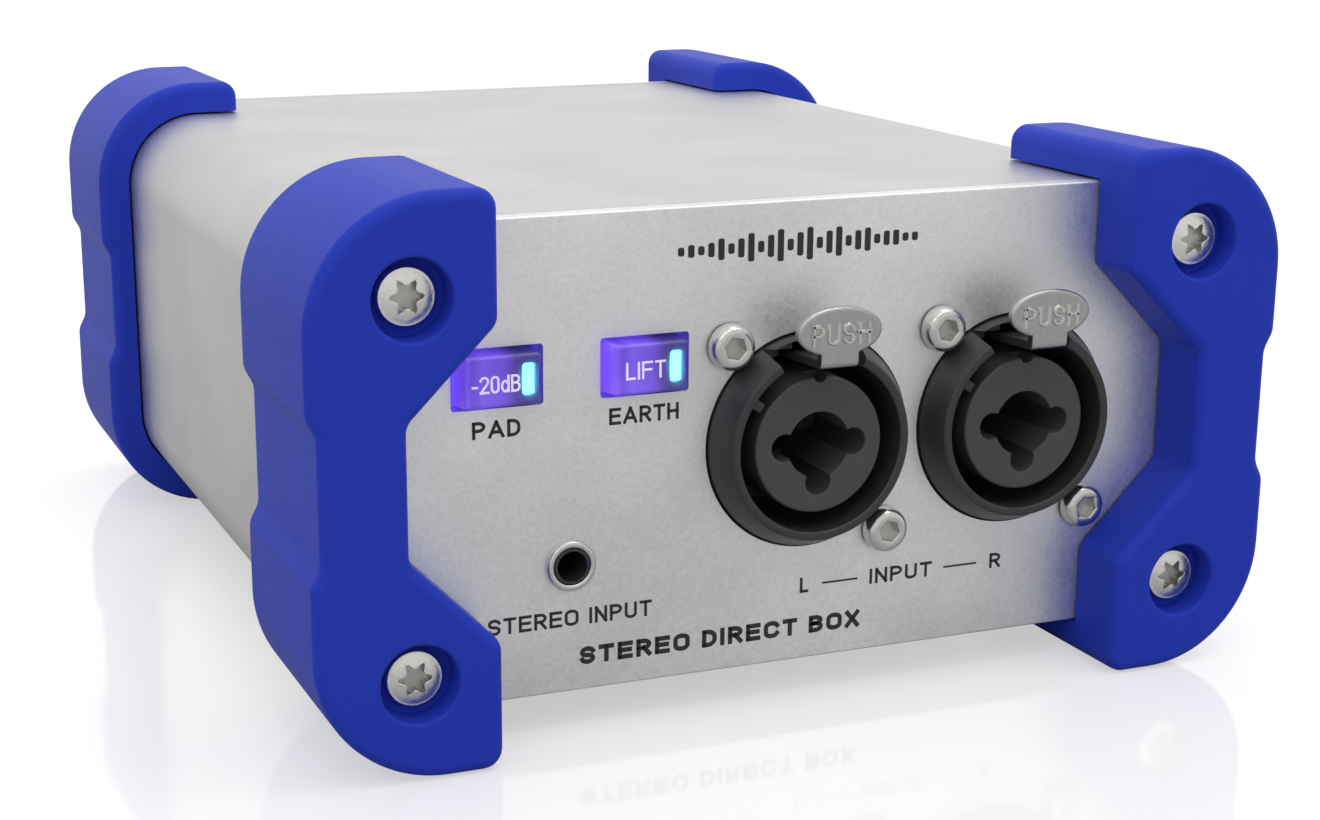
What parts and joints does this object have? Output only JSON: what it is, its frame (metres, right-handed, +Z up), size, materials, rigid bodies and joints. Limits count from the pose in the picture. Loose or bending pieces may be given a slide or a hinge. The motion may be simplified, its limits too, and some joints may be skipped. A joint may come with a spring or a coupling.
{
  "type": "direct injection box",
  "caption": "Desktop audio converter box: anodised aluminium case with corner bumpers, latching round input sockets, push buttons and a small jack.",
  "frame": {"origin": "on the ground under the middle of the case", "axes": "+X to the right and -Y out of the front panel, +Z up"},
  "size_m": [0.118, 0.143, 0.0628],
  "materials": {
    "anodised_sleeve": "fine bead-blasted, clear anodised",
    "anodised_panel": "fine bead-blasted, clear anodised",
    "blue_bumper": "satin moulded",
    "zinc_screw": "bright zinc",
    "socket_plastic": "satin moulded",
    "insert_plastic": "satin moulded",
    "nickel": "bright nickel plate",
    "violet_cap": "translucent, gloss",
    "light_bar": "lit",
    "switch_plastic": "moulded",
    "circuit_board": "solder mask",
    "gold_contact": "gold plate",
    "steel_can": "drawn steel",
    "capacitor_sleeve": "shrink sleeve"
  },
  "bodies": {
    "case": {"body_sleeve": "anodised_sleeve", "bumper_front_left": "blue_bumper", "bumper_front_right": "blue_bumper", "bumper_rear_left": "blue_bumper", "bumper_rear_right": "blue_bumper", "bumper_screw_front_left_lower": "zinc_screw", "bumper_screw_front_left_upper": "zinc_screw", "bumper_screw_front_right_lower": "zinc_screw", "bumper_screw_front_right_upper": "zinc_screw", "bumper_screw_rear_left_lower": "zinc_screw", "bumper_screw_rear_left_upper": "zinc_screw", "bumper_screw_rear_right_lower": "zinc_screw", "bumper_screw_rear_right_upper": "zinc_screw", "capacitor_front": "capacitor_sleeve", "capacitor_rear": "capacitor_sleeve", "front_panel": "anodised_panel", "input_insert_left": "insert_plastic", "input_insert_right": "insert_plastic", "input_left_screw_lower": "nickel", "input_left_screw_upper": "nickel", "input_right_screw_lower": "nickel", "input_right_screw_upper": "nickel", "input_shell_left": "socket_plastic", "input_shell_right": "socket_plastic", "latch_pin_left": "nickel", "latch_pin_right": "nickel", "lift_switch": "switch_plastic", "link_jack_left": "socket_plastic", "link_jack_right": "socket_plastic", "link_nut_left": "nickel", "link_nut_right": "nickel", "main_board": "circuit_board", "mini_jack": "socket_plastic", "mini_jack_nut": "nickel", "output_left_screw_lower": "nickel", "output_left_screw_upper": "nickel", "output_pin_left_1": "gold_contact", "output_pin_left_2": "gold_contact", "output_pin_left_3": "gold_contact", "output_pin_right_1": "gold_contact", "output_pin_right_2": "gold_contact", "output_pin_right_3": "gold_contact", "output_right_screw_lower": "nickel", "output_right_screw_upper": "nickel", "output_shell_left": "socket_plastic", "output_shell_right": "socket_plastic", "pad_switch": "switch_plastic", "rear_panel": "anodised_panel", "switch_board": "circuit_board", "transformer_left": "steel_can", "transformer_right": "steel_can"},
    "pad_button": {"pad_button": "violet_cap", "pad_light_bar": "light_bar"},
    "lift_button": {"lift_button": "violet_cap", "lift_light_bar": "light_bar"},
    "latch_left": {"input_latch_left": "nickel"},
    "latch_right": {"input_latch_right": "nickel"}
  },
  "joints": [
    {"name": "pad_press", "type": "slide", "parent": "case", "child": "pad_button", "axis": [0, 1, 0], "range_m": [0, 0.0018], "stiffness_N_per_m": 300, "springref_m": -0.0008},
    {"name": "lift_press", "type": "slide", "parent": "case", "child": "lift_button", "axis": [0, 1, 0], "range_m": [0, 0.0018], "stiffness_N_per_m": 300, "springref_m": -0.0008},
    {"name": "latch_left_release", "type": "hinge", "parent": "case", "child": "latch_left", "pos_m": [0.0012, -0.0547, 0.0405], "axis": [-1, 0, 0], "range_deg": [0, 5], "stiffness_Nm_per_rad": 0.04, "springref_deg": -3.44},
    {"name": "latch_right_release", "type": "hinge", "parent": "case", "child": "latch_right", "pos_m": [0.028, -0.0547, 0.0405], "axis": [-1, 0, 0], "range_deg": [0, 5], "stiffness_Nm_per_rad": 0.04, "springref_deg": -3.44}
  ]
}
